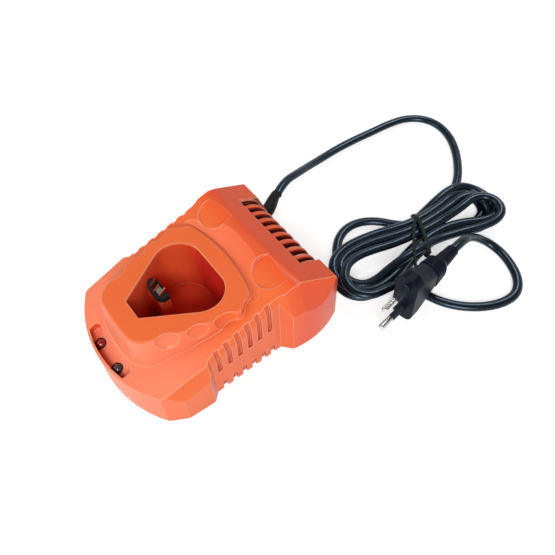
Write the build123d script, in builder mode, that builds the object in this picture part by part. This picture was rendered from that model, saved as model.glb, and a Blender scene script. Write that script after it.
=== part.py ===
from build123d import *
import os
from math import asin, atan, atan2, cos, degrees, pi, radians, sin, sqrt, tan

# Charger for stick battery packs.  Millimetres, +Z up, origin on the table under the middle of
# the housing.  +X is the right side seen from the LED end, -Y is the front (LED) end.

# ---------------------------------------------------------------- driving dimensions
# Plan of the housing
length = 125.5              # front arc to rear wall
front_radius = 67.0         # nose arc
nose_half = 39.0            # half width where the nose arc ends
front_lobe_half = 44.8      # half width of the front lobe
nose_facet = (5.2, 9.5)     # corner facet between nose arc and lobe side, across and along
waist_front = -21.5         # the waist runs from here ...
waist_rear = 20.5           # ... to here
waist_front_half = 41.0
waist_rear_half = 39.6
waist_step = 4.0            # length of the slanting step into the front lobe
rear_step = 4.7             # length of the slanting step into the rear lobe
rear_lobe_half = 45.0
rear_lobe_bow = 0.7         # outward bow of the rear lobe's side
rear_taper = 4.5            # narrowing from the lobe to the rear corner
rear_corner = (3.5, 3.5)    # rear corner facet, across and along
rear_bow = 1.45             # outward bow of the rear wall

# Heights
rim_z = 0.8                 # lower rim of the housing above the table
rim_round = 1.5             # rounded lower rim
nose_height = 26.5          # deck height at the nose
deck_slope = 0.29           # rise of the deck towards the rear
crown_radius = 276.0        # crown of the deck across the width
ridge_y = 31.0              # line where the deck meets the rear slope
ridge_height = 52.8
rear_slope = 0.54           # fall of the rear slope
ridge_blend = 12.0          # soft radius along the ridge
rear_facet_y = 56.0         # the rear slope turns down here
rear_facet_lean = 0.37      # lean of the slanted rear facet

# Shell
wall = 2.3                  # moulded wall
waist_wall = 4.0            # thicker wall behind grip grooves and teeth
fit_gap = 0.25              # clearance between the two housings and round fitted pieces

# Boss round the well
boss_top = ridge_height - 4.8
boss_depth = 26.0           # its drafted sides run this far down into the housing
boss_draft = 10.0           # degrees
boss_front = -48.95
boss_front_half = 12.6
boss_shoulder = (20.8, -41.15)
boss_side_bow = 1.2
boss_wing = (33.0, 2.75)
boss_heel = (27.8, 12.45)
boss_rear = 16.75
boss_edge = 1.3             # rounded top edge

# Battery well
well_front = -38.45
well_front_half = 6.3
well_lobe = (10.1, -6.65)   # centre of the rear corner arc
well_lobe_radius = 13.2
well_floor = 11.5

# Finger scoops along the boss's top edge
scoop_radius = 9.0
scoop_out = 6.0             # from the place named to the centre of the sphere
scoop_drop = 1.0            # centre below the boss's top
scoop_places = [(24.0, -35.7), (29.2, -21.0), (32.2, -6.5)]
notch_radius = 5.0
notch_place = (34.4, 9.8)

# Moat between boss and hump
moat_floor = ridge_height - 6.6
moat_gap = 1.0              # width of the moat's floor beyond the boss
moat_rise = 0.70            # slope of its rear bank
moat_start = -5.0

# Crescent thumb recesses on the hump
crescent_place = (24.5, 27.2)
crescent_radius = 9.7
crescent_depth = 1.2        # below the deck's own line, at the front edge
crescent_slope = 0.30

# LED recess and LEDs
recess_rear = 9.3           # from the nose to the recess's rear edge
recess_half = 17.8
recess_lip = 1.4
recess_corner = 2.0         # rounded rear corners
recess_depth = 5.2          # at the LEDs
recess_slope = 0.30
led_spacing = 18.0
led_from_nose = 4.8
led_diameter = 5.0
led_hole = 6.0
led_body = 5.0              # cylinder below the dome
led_leg = 0.5

# Rear vent
vent_slots = 9
vent_pitch = 6.25
vent_slot = 3.0
vent_half = 27.5
vent_centre = (39.76, ridge_height - 25.41)   # y, z of the centre of the louvres' arc
vent_radius = 18.14
vent_start = 79.0           # degrees above horizontal, front end
vent_drop = 16.6            # straight run of the louvres down the rear, below their arc
louvre_depth = 3.0

# Grip grooves and teeth of the waist
grip_count = 6
grip_pitch = 6.3
groove_first = -17.2
groove_width = 2.9
groove_depth = 1.3
groove_toe = 1.8            # depth at its lower end
groove_toe_z = 20.5         # lower end of the first groove
groove_toe_rise = 0.13      # rise of the lower ends towards the rear
shoulder_half_front = 39.0  # deck edge of the waist, front and rear
shoulder_half_rear = 38.0
shoulder_lean = 0.40
tooth_first = -16.05
tooth_pitch = 6.25
tooth_gap = 3.0
tooth_depth = 2.1
tooth_height = 7.5

# Side facets of the two lobes: half width of the deck edge, and lean of the facet
front_facet = [(-51.0, 39.9, 0.46), (-24.0, 41.3, 0.39)]
rear_facet = [(25.0, rear_lobe_half - 5.5, 0.365), (32.0, rear_lobe_half - 5.5, 0.375),
              (54.0, rear_lobe_half - 4.0, 0.28)]

# Base plate, feet and screws
plate = 2.4
rib = 1.6                   # locating rib on the base plate
rib_height = 5.0
pillar = 7.0
pillar_places = [(36.0, -34.0), (38.0, 40.0)]
case_screw = 3.0
case_screw_head = 5.6
case_screw_length = 12.0
screw_head_height = 1.3
foot = 10.0
foot_recess = 1.0
foot_places = [(28.0, -45.0), (28.0, 52.0)]
base_slot = (2.2, 22.0)     # vent slots of the base plate
base_slots = 7
base_slot_pitch = 5.0
base_slot_y = 24.0

# Circuit board
board_rise = 2.8            # standoff height above the plate
board = 1.6
board_half = 31.0
board_front = -45.0
board_rear = 42.0
tongue_half = 10.9          # front tongue that carries the LEDs
tongue_front = -58.9
standoff = 5.5
board_screw = 2.2
board_screw_head = 4.2
board_screw_length = 5.0
board_screw_places = [(27.0, -38.0), (27.0, 38.0)]

# Terminals in the well
block_size = (12.4, 6.2, 4.0)
block_centre = (-9.8, -20.5)
block_corner = 2.5          # chamfered front corner
block_tower = (2.1, 3.6, 3.2)   # horn beside the first blade
pedestal_top = 33.0
pedestal_wall = 1.2
blade_thickness = 0.8
blade_width = 3.6
blade_rise = 4.8            # above the block
blade_fall = 2.9            # drop of the sloping top edge towards the front
blade_pitch = 3.8
blade_first = -13.1         # x of the negative blade
blade_y = (-21.3, -21.2, -19.8)
tail_width = 1.6
bridge_height = 2.4         # insulating bridge between the last two blades

# Parts on the board
core_size = (24.0, 9.0, 23.0)
core_centre = (6.0, 28.5)
core_window = (5.0, 13.0)
core_leg = 7.0
bobbin_flange = 1.2
input_cap = (13.0, 22.0)
input_cap_place = (-17.0, 26.0)
output_cap = (8.0, 12.0)
output_cap_places = [(26.0, 16.0), (26.0, 26.0)]
rectifier_size = (12.0, 4.0, 9.0)
rectifier_place = (-18.0, 12.6)
fuse_diameter = 5.2
fuse_length = 20.0
fuse_place = (-28.0, 14.0)
sink_size = (16.0, 2.0, 18.0)
sink_place = (6.0, 15.6)
transistor_size = (10.0, 4.4, 15.0)
chip_size = (10.0, 6.0, 1.2)
chip_place = (12.0, -30.0)

# Mains cord
cord = 5.0
exit_x = 12.7 - rear_lobe_half
exit_z = 17.0
exit_turn = 30.0            # degrees the strain relief bends towards -X
relief_base = 8.6
relief_tip = 6.4
relief_bend = 5.0           # length of its bent part
relief_straight = 13.0
relief_neck = 7.6
relief_flange = (9.2, 1.8)
relief_seat = 1.8           # neck behind the wall
inner_cord_end = 47.0
clamp_size = (15.0, 5.0, 3.0)
clamp_y = 51.0
clamp_post = 4.6
clamp_spread = 5.2          # from the cord to each clamp screw
wire = 1.8
wire_spread = 1.7
wire_place = (-27.8, 30.5)  # where the two wires meet the board

# Hank of cord on the table
hank_bottom = 0.6
hank_top = 11.0
hank_upper = (38.3, 176.0, 14.0)     # x, y, radius of the upper bight
hank_lower = (29.0, 89.5, 16.5)
hank_waist = (31.5, 135.0, 12.0)
tie_wall = 0.6
tie_width = 3.0

# Plug, standing on its narrow edge
plug_face = (64.0, 85.8, 17.65)
plug_heading = -81.14       # degrees of the pins in plan, from +X
plug_height = 35.3
plug_thickness = 13.7
plug_length = 45.0
plug_grip = (21.0, 17.5, 12.6)       # back from the face, height and thickness of the grip
plug_grip_end = (30.0, 14.0, 11.6)
plug_ribs = 4
plug_rib = (1.1, 0.5)                # width and height of the grip's ribs
pin_diameter = 4.0
pin_length = 19.0
pin_root = 9.0
pin_spacing = 18.6
pin_spacing_tip = 17.5
sleeve_length = 10.0
sleeve_wall = 0.5

os.makedirs("parts", exist_ok=True)

# ---------------------------------------------------------------- derived positions
nose_y = -length / 2
rear_y = length / 2
rear_corner_y = rear_y - rear_bow - rear_corner[1]
rear_taper_half = rear_lobe_half - rear_taper
crown_axis_z = nose_height - crown_radius
plate_top = rim_z + plate
board_z = plate_top + board_rise
board_top = board_z + board
led_y = nose_y + led_from_nose
led_z = nose_height + deck_slope * led_from_nose - recess_depth
vent_axis = Axis((0, vent_centre[0], vent_centre[1]), (1, 0, 0))
vent_lean = atan(rear_facet_lean)      # where the louvres' arc turns straight
inner_waist_half = waist_rear_half - waist_wall
exit_edge_x = abs(exit_x) - relief_base / 2
exit_wall_y = rear_y - rear_bow * (exit_edge_x / (rear_taper_half - rear_corner[0])) ** 2


def save(part, name):
    """Label a finished piece and write it as one STEP file."""
    part.label = name
    export_step(part, "parts/" + name + ".step")


def deck_z(y, x=0.0):
    """Height of the crowned deck, or of the rear slope behind the ridge."""
    crown = crown_radius + deck_slope * (y - nose_y)
    front = crown_axis_z + sqrt(crown * crown - x * x)
    return min(front, ridge_height - rear_slope * (y - ridge_y))


def sides(places):
    """Mirror a list of places to both sides of the housing."""
    return [(sign * x, y) for x, y in places for sign in (1, -1)]


# ---------------------------------------------------------------- outlines
with BuildSketch() as plan:
    with BuildLine():
        nose_end = (nose_half, nose_y + front_radius - sqrt(front_radius ** 2 - nose_half ** 2))
        facet_end = (nose_half + nose_facet[0], nose_end[1] + nose_facet[1])
        rear_end = (rear_taper_half - rear_corner[0], rear_y - rear_bow)
        rear_mid_y = (waist_rear + rear_step + rear_corner_y) / 2
        RadiusArc((0, nose_y), nose_end, -front_radius)
        Polyline(nose_end, facet_end, (front_lobe_half, waist_front - waist_step),
                 (waist_front_half, waist_front), (waist_rear_half, waist_rear),
                 (rear_lobe_half, waist_rear + rear_step))
        ThreePointArc((rear_lobe_half, waist_rear + rear_step),
                      (rear_lobe_half + rear_lobe_bow, rear_mid_y),
                      (rear_taper_half, rear_corner_y))
        Line((rear_taper_half, rear_corner_y), rear_end)
        bow_mid = rear_end[0] / 2
        ThreePointArc(rear_end, (bow_mid, rear_y - rear_bow / 4), (0, rear_y))
        mirror(about=Plane.YZ)
    make_face()

with BuildSketch() as boss_outline:
    with BuildLine():
        shoulder = boss_shoulder
        side_mid = ((shoulder[0] + boss_wing[0]) / 2 + boss_side_bow,
                    (shoulder[1] + boss_wing[1]) / 2)
        ThreePointArc((0, boss_front), (boss_front_half / 2, boss_front + 0.15),
                      (boss_front_half, boss_front + 0.7))
        ThreePointArc((boss_front_half, boss_front + 0.7),
                      (boss_front_half + 5.1, boss_front + 3.3), shoulder)
        ThreePointArc(shoulder, side_mid, boss_wing)
        Line(boss_wing, boss_heel)
        heel_sag = boss_rear - boss_heel[1]
        ThreePointArc(boss_heel, (boss_heel[0] / 2, boss_rear - heel_sag / 4), (0, boss_rear))
        mirror(about=Plane.YZ)
    make_face()

with BuildSketch() as well_outline:
    with Locations((well_lobe[0], well_lobe[1]), (-well_lobe[0], well_lobe[1])):
        Circle(well_lobe_radius)
    with Locations((0, well_front + 0.5)):
        Rectangle(2 * well_front_half, 1.0)
    make_hull()


def inner_outline(clearance):
    """Inside of the housing's walls, thicker along the waist, less a clearance."""
    with BuildSketch() as inner:
        add(plan.sketch)
        offset(amount=-(wall + clearance), kind=Kind.INTERSECTION)
        block = front_lobe_half
        run = (waist_rear + rear_step) - (waist_front - waist_step) + 2 * clearance
        middle = (waist_rear + rear_step + waist_front - waist_step) / 2
        reach = inner_waist_half - clearance + block / 2
        with Locations((reach, middle), (-reach, middle)):
            Rectangle(block, run, mode=Mode.SUBTRACT)
    return inner.sketch


# ---------------------------------------------------------------- outer form
def side_cutter(inset):
    """Everything outside the side facets of lobes and waist, on the right side."""
    far = 70.0
    high = 90.0
    stations = [(nose_y - 5, front_facet[0][1], front_facet[0][2])]
    stations += front_facet
    stations += [(waist_front, shoulder_half_front, shoulder_lean),
                 (waist_rear, shoulder_half_rear, shoulder_lean)]
    stations += rear_facet
    stations += [(rear_y + 5, rear_facet[-1][1] + 0.6, rear_facet[-1][2])]
    with BuildPart() as cutter:
        for y, edge, lean in stations:
            edge_z = deck_z(y, edge)
            shift = inset * sqrt(1 + lean * lean)
            edge_x = edge - shift
            with BuildSketch(Plane.XZ.offset(-y)):
                Polygon((far, edge_z - (far - edge_x) / lean),
                        (edge_x - lean * (high - edge_z), high), (far, high), align=None)
        loft(ruled=True)
    return cutter.part


def outer_form(inset):
    """Closed outer form of the housing, moved inwards by inset."""
    cutter = side_cutter(inset)
    crown_inset = inset * sqrt(1 + deck_slope ** 2)
    rear_inset = inset * sqrt(1 + rear_slope ** 2)
    facet_inset = inset * sqrt(1 + rear_facet_lean ** 2)
    margin = 6.0
    with BuildPart() as form:
        with BuildSketch(Plane.XY.offset(rim_z)):
            add(plan.sketch)
            if inset:
                offset(amount=-inset, kind=Kind.INTERSECTION)
        extrude(amount=ridge_height + margin)
        if not inset:
            fillet(form.edges().group_by(Axis.Z)[0], rim_round)
        with BuildSketch(Plane.YZ):
            low = nose_height - crown_inset
            Polygon((nose_y - margin, crown_axis_z),
                    (nose_y - margin, low - deck_slope * margin),
                    (rear_y + margin, low + deck_slope * (length + margin)),
                    (rear_y + margin, crown_axis_z), align=None)
        revolve(axis=Axis((0, 0, crown_axis_z), (0, 1, 0)), mode=Mode.INTERSECT)
        facet_z = ridge_height - rear_slope * (rear_facet_y - ridge_y)
        back_x = rear_facet_y - facet_inset + rear_facet_lean * facet_z
        with BuildSketch(Plane.YZ):
            Polygon((0, ridge_height - rear_inset + rear_slope * ridge_y),
                    (rear_facet_y - facet_inset, facet_z - rear_inset + rear_slope * facet_inset),
                    (back_x, 0),
                    (back_x + 40, 0), (back_x + 40, 120), (0, 120), align=None)
        extrude(amount=60, both=True, mode=Mode.SUBTRACT)
        if not inset:
            fillet(form.edges().sort_by(Axis.Z)[-1], ridge_blend)
        add(cutter, mode=Mode.SUBTRACT)
        mirror(cutter, about=Plane.YZ, mode=Mode.SUBTRACT)
    return form.part


def well_form(grow, bottom):
    """Battery well as a solid, grown sideways, from bottom upwards."""
    with BuildPart() as form:
        with BuildSketch(Plane.XY.offset(bottom)):
            add(well_outline.sketch)
            if grow:
                offset(amount=grow)
        extrude(amount=boss_top + 20 - bottom)
    return form.part


def moat_form(grow):
    """Valley behind the boss: narrow floor, rear bank rising to the hump."""
    rise = 12.0
    with BuildPart() as form:
        for height, out in ((0, moat_gap + grow), (rise, moat_gap + grow + rise / moat_rise)):
            with BuildSketch(Plane.XY.offset(moat_floor - grow + height)):
                with BuildLine():
                    heel = (boss_heel[0] + 2.5 + 0.7 * out, boss_heel[1] + 0.7 * out)
                    wing = (boss_wing[0] + out + 1.5, boss_wing[1])
                    Polyline((0, moat_start), (wing[0], moat_start), wing, heel)
                    ThreePointArc(heel, (heel[0] / 2, boss_rear + out - 1.1),
                                  (0, boss_rear + out))
                    mirror(about=Plane.YZ)
                make_face()
        loft(ruled=True)
    return form.part


def recess_form(grow):
    """LED recess: straight rear edge, sides, and a front that follows the nose arc."""
    arc = front_radius - recess_lip + grow
    half = recess_half + grow
    rear = nose_y + recess_rear + grow
    front = nose_y + front_radius
    with BuildPart() as form:
        with BuildSketch(Plane.XY.offset(rim_z)):
            with BuildLine():
                Polyline((0, rear), (half, rear), (half, front - sqrt(arc ** 2 - half ** 2)))
                RadiusArc((half, front - sqrt(arc ** 2 - half ** 2)), (0, front - arc), arc)
                mirror(about=Plane.YZ)
            make_face()
        extrude(amount=60)
        fillet(form.edges().filter_by(Axis.Z).group_by(Axis.Y)[-1], recess_corner + grow)
        tilt = degrees(atan2(recess_slope, 1))
        floor = Plane((0, led_y, led_z - grow), x_dir=(1, 0, 0), z_dir=(0, -sin(radians(tilt)),
                                                                      cos(radians(tilt))))
        split(bisect_by=floor, keep=Keep.TOP)
    return form.part


def vent_form(inner, outer, half, start, drop):
    """Curved block across the rear: an arc round the louvres' axis, then straight down."""
    across = Vector(cos(vent_lean), sin(vent_lean))
    down = Vector(sin(vent_lean), -cos(vent_lean))
    centre = Vector(*vent_centre)
    with BuildPart() as form:
        with BuildSketch(Plane.YZ):
            with BuildLine():
                CenterArc(centre, outer, degrees(vent_lean), start - degrees(vent_lean))
                CenterArc(centre, inner, degrees(vent_lean), start - degrees(vent_lean))
                Polyline(centre + across * outer, centre + across * outer + down * drop,
                         centre + across * inner + down * drop, centre + across * inner)
                top = Vector(cos(radians(start)), sin(radians(start)))
                Line(centre + top * inner, centre + top * outer)
            make_face()
        extrude(amount=half, both=True)
    return form.part


# ---------------------------------------------------------------- upper housing
with BuildPart() as cavity:
    with BuildSketch(Plane.XY.offset(rim_z)):
        add(inner_outline(0))
    extrude(amount=ridge_height)
    add(outer_form(wall), mode=Mode.INTERSECT)
    with BuildSketch(Plane.XY):
        add(inner_outline(0))
    extrude(amount=rim_z + 1)
    add(well_form(wall, well_floor - wall), mode=Mode.SUBTRACT)
    add(moat_form(wall), mode=Mode.SUBTRACT)
    add(recess_form(wall), mode=Mode.SUBTRACT)
    add(vent_form(vent_radius - wall, vent_radius + 12, vent_half + wall,
                  vent_start + 8, vent_drop + wall), mode=Mode.SUBTRACT)
    with Locations(*[(x, y, plate_top) for x, y in sides(pillar_places)]):
        Cylinder(pillar / 2, 60, align=(Align.CENTER, Align.CENTER, Align.MIN),
                 mode=Mode.SUBTRACT)

with BuildPart() as boss:
    with BuildSketch(Plane.XY.offset(boss_top)):
        add(boss_outline.sketch)
    extrude(amount=-boss_depth, taper=-boss_draft)
    fillet(boss.faces().sort_by(Axis.Z)[-1].edges(), boss_edge)
    for x, y in sides(scoop_places):
        out = scoop_out if x > 0 else -scoop_out
        with Locations((x + out, y, boss_top - scoop_drop)):
            Sphere(scoop_radius, mode=Mode.SUBTRACT)
    with Locations(*[(x, y, 0) for x, y in sides([notch_place])]):
        Cylinder(notch_radius, ridge_height, align=(Align.CENTER, Align.CENTER, Align.MIN),
                 mode=Mode.SUBTRACT)

with BuildPart() as upper_housing:
    add(outer_form(0))
    add(moat_form(0), mode=Mode.SUBTRACT)
    add(boss.part)
    add(well_form(0, well_floor), mode=Mode.SUBTRACT)
    add(recess_form(0), mode=Mode.SUBTRACT)
    with Locations((led_spacing / 2, led_y, 0), (-led_spacing / 2, led_y, 0)):
        Cylinder(led_hole / 2, 60, mode=Mode.SUBTRACT)
    # thumb crescents, sharp at the front and running out at the ridge
    for x, y in sides([crescent_place]):
        start_y = y - crescent_radius
        start_z = deck_z(start_y, x) - crescent_depth
        lean = Plane((x, start_y, start_z), x_dir=(1, 0, 0), z_dir=(0, -crescent_slope, 1))
        with BuildSketch(lean):
            with Locations((0, crescent_radius)):
                Circle(crescent_radius)
        extrude(amount=12, mode=Mode.SUBTRACT)
    add(cavity.part, mode=Mode.SUBTRACT)
    # louvred vent
    add(vent_form(vent_radius, vent_radius + 12, vent_half, vent_start, vent_drop),
        mode=Mode.SUBTRACT)
    opening_half = ((vent_slots - 1) * vent_pitch + vent_slot) / 2
    add(vent_form(vent_radius - wall - 6, vent_radius + 1, opening_half,
                  vent_start - 2, vent_drop - wall / 2), mode=Mode.SUBTRACT)
    arc_end = Plane((0, vent_centre[0], vent_centre[1]), x_dir=(1, 0, 0),
                    z_dir=(0, -sin(vent_lean), cos(vent_lean)))
    bar = vent_pitch - vent_slot
    for k in range(vent_slots - 1):
        with BuildSketch(arc_end) as bar_end:
            with Locations(((k - vent_slots / 2 + 1) * vent_pitch, vent_radius - louvre_depth / 2)):
                RectangleRounded(bar, louvre_depth, 0.45 * min(bar, louvre_depth))
        revolve(axis=vent_axis, revolution_arc=vent_start - degrees(vent_lean))
        extrude(bar_end.sketch, amount=-vent_drop)
    # grip grooves from the deck edge down the waist
    for k in range(grip_count):
        y = groove_first + k * grip_pitch
        share = (y - waist_front) / (waist_rear - waist_front)
        edge = shoulder_half_front + share * (shoulder_half_rear - shoulder_half_front)
        side = waist_front_half + share * (waist_rear_half - waist_front_half)
        edge_z = deck_z(y, edge)
        foot_z = edge_z - (side - edge) / shoulder_lean
        toe_z = groove_toe_z + groove_toe_rise * (y - groove_first)
        with BuildSketch(Plane.XZ.offset(-y)):
            with BuildLine():
                Polyline((edge - 0.8, edge_z + 9), (edge - 0.8, edge_z - groove_depth + 0.2),
                         (side - groove_depth - 0.2, foot_z - 0.4), (side - groove_toe, toe_z),
                         (side + 6, toe_z), (side + 6, edge_z + 9), close=True)
            make_face()
            mirror(about=Plane.YZ)
        extrude(amount=groove_width / 2, both=True, mode=Mode.SUBTRACT)
    # teeth along the waist's lower edge
    for k in range(grip_count):
        y = tooth_first + k * tooth_pitch
        share = (y - waist_front) / (waist_rear - waist_front)
        side = waist_front_half + share * (waist_rear_half - waist_front_half)
        with BuildSketch(Plane.YZ.offset(side - tooth_depth)):
            with Locations((y, tooth_height / 2)):
                Rectangle(tooth_gap, tooth_height)
            with Locations((y, tooth_height)):
                Circle(tooth_gap / 2)
        extrude(amount=tooth_depth + 4, mode=Mode.SUBTRACT)
        with BuildSketch(Plane.YZ.offset(-side + tooth_depth)):
            with Locations((y, tooth_height / 2)):
                Rectangle(tooth_gap, tooth_height)
            with Locations((y, tooth_height)):
                Circle(tooth_gap / 2)
        extrude(amount=-tooth_depth - 4, mode=Mode.SUBTRACT)
    # screw pillars' pilot holes
    with Locations(*[(x, y, 0) for x, y in sides(pillar_places)]):
        Cylinder(case_screw / 2, plate_top + case_screw_length + 1,
                 align=(Align.CENTER, Align.CENTER, Align.MIN), mode=Mode.SUBTRACT)
    # hollow pedestal that carries the terminal block
    pedestal_height = pedestal_top - well_floor
    with Locations((block_centre[0] + block_size[0] / 2, block_centre[1],
                    well_floor - wall / 2)):
        Box(block_size[0] + 4, block_size[1], pedestal_height + wall / 2,
            align=(Align.MAX, Align.CENTER, Align.MIN))
    with Locations((block_centre[0] + block_size[0] / 2 - pedestal_wall, block_centre[1],
                    well_floor - wall - 1)):
        Box(block_size[0] - 2 * pedestal_wall, block_size[1] - 2 * pedestal_wall,
            pedestal_height + wall + 1, align=(Align.MAX, Align.CENTER, Align.MIN),
            mode=Mode.SUBTRACT)
    # mains cord exit
    with Locations(Plane((exit_x, rear_y, exit_z), x_dir=(1, 0, 0), z_dir=(0, 1, 0))):
        Cylinder(relief_neck / 2 + 0.1, 14, mode=Mode.SUBTRACT)
save(upper_housing.part, "upper_housing")

# ---------------------------------------------------------------- lower housing
with BuildPart() as lower_housing:
    with BuildSketch(Plane.XY.offset(rim_z)):
        add(inner_outline(fit_gap))
    extrude(amount=plate)
    with BuildSketch(Plane.XY.offset(plate_top)):
        add(inner_outline(fit_gap))
        offset(inner_outline(fit_gap), amount=-rib, kind=Kind.INTERSECTION, mode=Mode.SUBTRACT)
        with Locations(*sides(pillar_places)):
            Circle(pillar / 2 + 1, mode=Mode.SUBTRACT)
        with Locations((0, tongue_front)):
            Rectangle(2 * tongue_half + 2, 8, mode=Mode.SUBTRACT)
    extrude(amount=rib_height)
    with Locations(*[(x, y, plate_top) for x, y in sides(board_screw_places)]):
        Cylinder(standoff / 2, board_rise, align=(Align.CENTER, Align.CENTER, Align.MIN))
    clamp_posts = [(exit_x + sign * clamp_spread, clamp_y) for sign in (1, -1)]
    clamp_seat = exit_z + cord / 2 - 1.0
    with Locations(*[(x, y, plate_top) for x, y in clamp_posts]):
        Cylinder(clamp_post / 2, clamp_seat - plate_top,
                 align=(Align.CENTER, Align.CENTER, Align.MIN))
    with Locations(*[(x, y, clamp_seat) for x, y in clamp_posts]):
        Hole(board_screw / 2, 7)
    with Locations(*[(x, y, board_z) for x, y in sides(board_screw_places)]):
        Hole(board_screw / 2, board_screw_length - board)
    with Locations(*[(x, y, rim_z) for x, y in sides(pillar_places)]):
        Cylinder(case_screw / 2 + 0.15, 20, mode=Mode.SUBTRACT)
        Cylinder(case_screw_head / 2 + fit_gap, 2 * screw_head_height, mode=Mode.SUBTRACT)
    with Locations(*[(x, y, rim_z) for x, y in sides(foot_places)]):
        Cylinder(foot / 2, 2 * foot_recess, mode=Mode.SUBTRACT)
    with BuildSketch(Plane.XY.offset(rim_z)):
        with Locations((0, base_slot_y)):
            with GridLocations(base_slot_pitch, 1, base_slots, 1):
                SlotOverall(base_slot[1], base_slot[0], rotation=90)
    extrude(amount=plate, mode=Mode.SUBTRACT)
save(lower_housing.part, "lower_housing")

with BuildPart() as rubber_feet:
    with BuildSketch():
        with Locations(*sides(foot_places)):
            Circle(foot / 2)
    extrude(amount=rim_z + foot_recess)
    fillet(rubber_feet.edges().group_by(Axis.Z)[0], 0.4)
save(rubber_feet.part, "rubber_feet")

with BuildPart() as case_screws:
    head_z = rim_z + screw_head_height
    for x, y in sides(pillar_places):
        with BuildSketch(Plane.XY.offset(head_z)):
            with Locations((x, y)):
                Circle(case_screw_head / 2)
        extrude(amount=-screw_head_height + 0.2)
        with BuildSketch(Plane.XY.offset(head_z)):
            with Locations((x, y)):
                Circle(case_screw / 2)
        extrude(amount=case_screw_length)
    with BuildSketch(Plane.XY.offset(rim_z)):
        with Locations(*sides(pillar_places)):
            Rectangle(0.7, 3.2)
            Rectangle(3.2, 0.7)
    extrude(amount=0.8, mode=Mode.SUBTRACT)
save(case_screws.part, "case_screws")

# ---------------------------------------------------------------- circuit board
with BuildPart() as circuit_board:
    with BuildSketch(Plane.XY.offset(board_z)):
        with Locations((0, (board_front + board_rear) / 2)):
            RectangleRounded(2 * board_half, board_rear - board_front, 2)
        with Locations((0, (tongue_front + board_front) / 2)):
            Rectangle(2 * tongue_half, board_front - tongue_front + 2)
        with Locations(*sides(board_screw_places)):
            Circle(board_screw / 2, mode=Mode.SUBTRACT)
    extrude(amount=board)
save(circuit_board.part, "circuit_board")

with BuildPart() as board_screws:
    for x, y in sides(board_screw_places):
        with BuildSketch(Plane.XY.offset(board_top)):
            with Locations((x, y)):
                Circle(board_screw_head / 2)
        extrude(amount=1.5)
        with BuildSketch(Plane.XY.offset(board_top)):
            with Locations((x, y)):
                Circle(board_screw / 2)
        extrude(amount=-board_screw_length)
save(board_screws.part, "board_screws")

# transformer: two-window core, bobbin on its middle leg, winding on the bobbin
core_y0 = core_centre[1]
window_x = core_leg / 2 + core_window[0] / 2
core_bottom = board_top
with BuildPart() as transformer_core:
    with BuildSketch(Plane.XZ.offset(-core_y0)):
        with Locations((core_centre[0], core_bottom + core_size[2] / 2)):
            Rectangle(core_size[0], core_size[2])
            with Locations((window_x, 0), (-window_x, 0)):
                Rectangle(core_window[0], core_window[1], mode=Mode.SUBTRACT)
    extrude(amount=core_size[1] / 2, both=True)
    chamfer(transformer_core.edges().filter_by(Axis.Y).group_by(Axis.Z)[-1], 0.8)
save(transformer_core.part, "transformer_core")

core_half_depth = core_size[1] / 2
window_mid = core_bottom + core_size[2] / 2
with BuildPart() as transformer_bobbin:
    for z, height, grow in ((window_mid - core_window[1] / 2 + 0.1, bobbin_flange, 4.6),
                            (window_mid - core_window[1] / 2 + 0.1, core_window[1] - 0.2, 1.0),
                            (window_mid + core_window[1] / 2 - 0.1 - bobbin_flange,
                             bobbin_flange, 4.6)):
        with BuildSketch(Plane.XY.offset(z)):
            with Locations(core_centre):
                Rectangle(core_leg + 2 * grow, 2 * (core_half_depth + grow))
                Rectangle(core_leg + 0.2, 2 * core_half_depth + 0.2, mode=Mode.SUBTRACT)
        extrude(amount=height)
save(transformer_bobbin.part, "transformer_bobbin")

with BuildPart() as transformer_winding:
    with BuildSketch(Plane.XY.offset(window_mid - core_window[1] / 2 + 0.1 + bobbin_flange)):
        with Locations(core_centre):
            RectangleRounded(core_leg + 8.4, 2 * core_half_depth + 8.4, 2)
            Rectangle(core_leg + 2, 2 * core_half_depth + 2, mode=Mode.SUBTRACT)
    extrude(amount=core_window[1] - 0.2 - 2 * bobbin_flange)
save(transformer_winding.part, "transformer_winding")


def can_capacitor(part_name, size, places):
    """Upright electrolytic cans with a crimp groove, standing on the board."""
    with BuildPart() as cans:
        for x, y in places:
            with Locations((x, y, board_top)):
                Cylinder(size[0] / 2, size[1], align=(Align.CENTER, Align.CENTER, Align.MIN))
        fillet(cans.edges().group_by(Axis.Z)[-1], 0.6)
        for x, y in places:
            with Locations((x, y, board_top + 2.2)):
                Torus(size[0] / 2 + 0.2, 0.6, mode=Mode.SUBTRACT)
    save(cans.part, part_name)


can_capacitor("input_capacitor", input_cap, [input_cap_place])
can_capacitor("output_capacitors", output_cap, output_cap_places)

with BuildPart() as bridge_rectifier:
    with Locations((rectifier_place[0], rectifier_place[1], board_top + 2)):
        Box(*rectifier_size, align=(Align.CENTER, Align.CENTER, Align.MIN))
    chamfer(bridge_rectifier.edges().filter_by(Axis.Y).sort_by(Axis.X)[-1], 1.5)
    with Locations((rectifier_place[0], rectifier_place[1], board_top)):
        with GridLocations(rectifier_size[0] / 4, 1, 4, 1):
            Box(0.8, 0.6, 2.2, align=(Align.CENTER, Align.CENTER, Align.MIN))
save(bridge_rectifier.part, "bridge_rectifier")

with BuildPart() as mains_fuse:
    with Locations((fuse_place[0], fuse_place[1], board_top + fuse_diameter / 2)):
        with Locations(Rotation(90, 0, 0)):
            Cylinder(fuse_diameter / 2 - 0.4, fuse_length)
    for end in (-1, 1):
        with Locations((fuse_place[0], fuse_place[1] + end * (fuse_length / 2 - 2.5),
                        board_top + fuse_diameter / 2)):
            with Locations(Rotation(90, 0, 0)):
                Cylinder(fuse_diameter / 2, 5)
save(mains_fuse.part, "mains_fuse")

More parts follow.
